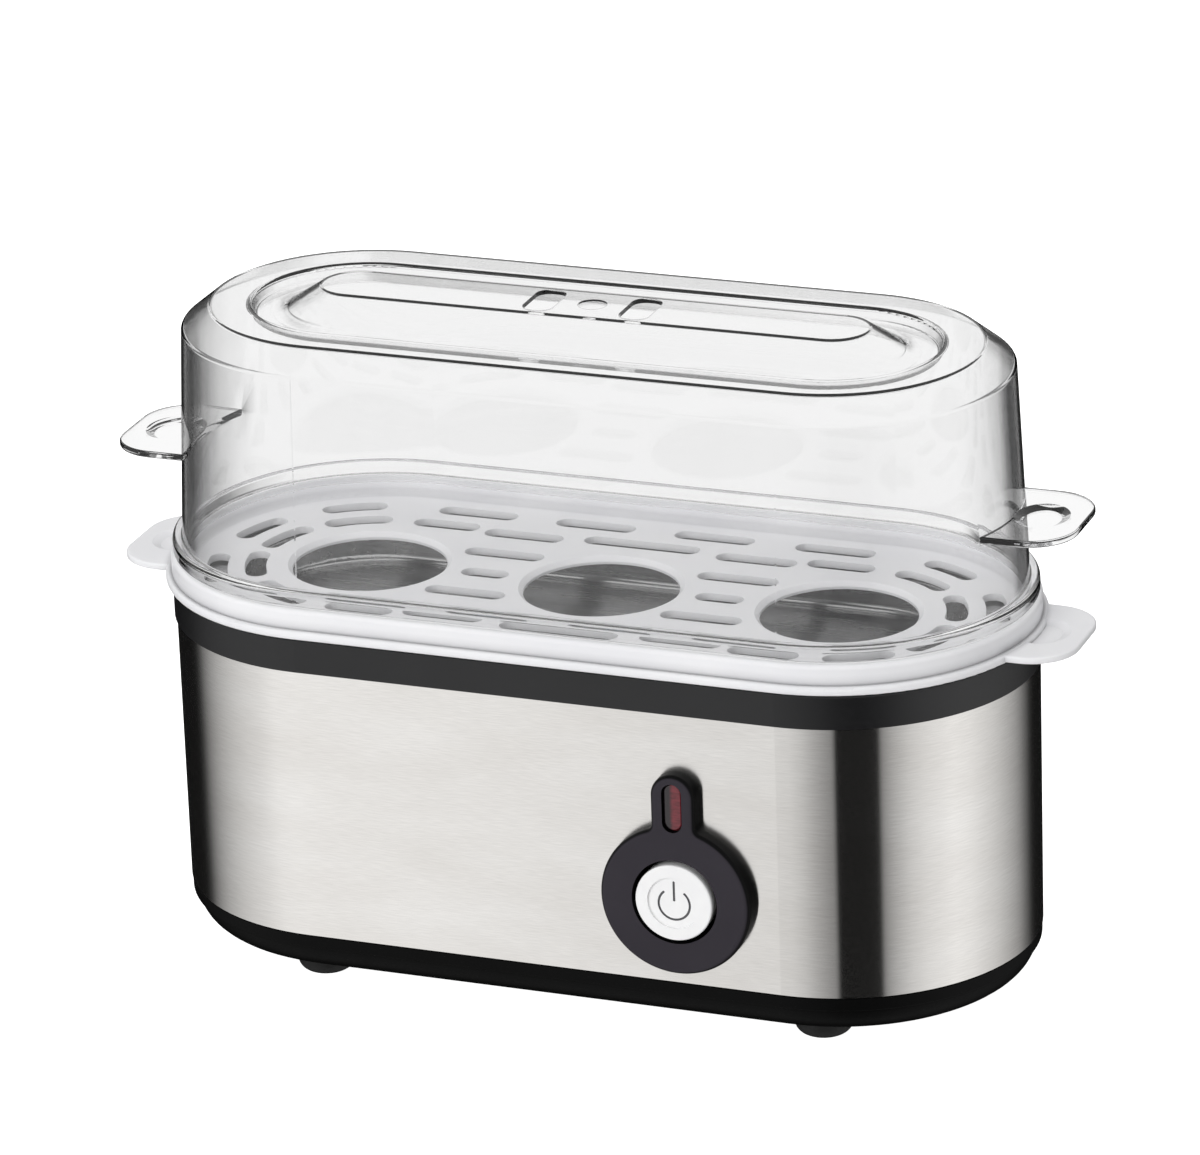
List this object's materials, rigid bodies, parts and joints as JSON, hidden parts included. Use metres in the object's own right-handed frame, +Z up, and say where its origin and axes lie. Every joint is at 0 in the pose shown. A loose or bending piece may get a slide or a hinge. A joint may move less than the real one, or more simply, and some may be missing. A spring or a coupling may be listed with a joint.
{
  "type": "electric egg cooker",
  "caption": "Stadium-shaped steam egg cooker: brushed steel body on a black base, white slotted tray, clear vented lid with lift tabs, push button and indicator light on the front.",
  "frame": {"origin": "on the table, under the middle of the body, at the underside of the rubber feet", "axes": "+X along the long side of the body towards the control, +Y towards the cord gland at the back, +Z up"},
  "size_m": [0.2118, 0.091, 0.146],
  "materials": {
    "brushed_steel": "stainless sheet with a horizontal brushed grain",
    "black_plastic": "black moulded plastic, satin",
    "grey_black_plastic": "dark grey moulded plastic, satin",
    "black_rubber": "matt black rubber",
    "white_plastic": "white translucent polypropylene, soft gloss",
    "clear_plastic": "clear moulded plastic, polished",
    "button_plastic": "white plastic with a sunk grey standby mark",
    "red_lens": "dark red translucent plastic",
    "lamp_glass": "small glass neon bulb",
    "pan_steel": "pressed stainless sheet, polished",
    "zinc_steel": "zinc-plated steel",
    "spring_steel": "bright spring wire",
    "element_sheath": "dull metal sheath",
    "thermostat_body": "off-white moulded thermoset",
    "terminal_plastic": "off-white moulded plastic",
    "silicone": "grey silicone sheet",
    "lead_brown": "brown wire insulation",
    "lead_blue": "blue wire insulation",
    "lead_green": "green-yellow wire insulation",
    "lead_white": "white heat-proof sleeving"
  },
  "bodies": {
    "base": {"bottom_base": "black_plastic", "rubber_feet": "black_rubber", "steel_housing": "brushed_steel", "top_ring": "grey_black_plastic", "base_screws": "zinc_steel", "heating_plate": "pan_steel", "pan_seal": "silicone", "pan_screws": "zinc_steel", "heating_element": "element_sheath", "element_clamps": "zinc_steel", "clamp_nuts": "zinc_steel", "thermostat": "thermostat_body", "thermostat_nuts": "zinc_steel", "thermal_fuse": "element_sheath", "fuse_clip": "zinc_steel", "control_plate": "grey_black_plastic", "switch_bracket": "black_plastic", "plate_screws": "zinc_steel", "button_spring": "spring_steel", "power_switch": "black_plastic", "indicator_lens": "red_lens", "indicator_lamp": "lamp_glass", "lamp_lead_left": "lead_white", "lamp_lead_right": "lead_white", "terminal_block": "terminal_plastic", "terminal_screws": "zinc_steel", "cord_gland": "black_plastic", "gland_nut": "black_plastic", "earth_tag": "zinc_steel", "earth_nut": "zinc_steel", "live_lead": "lead_brown", "switch_lead": "lead_white", "element_lead": "lead_white", "fuse_lead": "lead_white", "neutral_lead": "lead_blue", "earth_lead": "lead_green"},
    "tray": {"egg_tray": "white_plastic"},
    "lid": {"lid": "clear_plastic"},
    "button": {"power_button": "button_plastic"}
  },
  "joints": [
    {"name": "tray_lift", "type": "slide", "parent": "base", "child": "tray", "axis": [0, 0, 1], "range_m": [0, 0.06]},
    {"name": "lid_lift", "type": "slide", "parent": "tray", "child": "lid", "axis": [0, 0, 1], "range_m": [0, 0.08]},
    {"name": "button_press", "type": "slide", "parent": "base", "child": "button", "axis": [0, 1, 0], "range_m": [0, 0.0025], "stiffness_N_per_m": 800, "springref_m": -0.002, "deforming": ["button_spring"]}
  ]
}
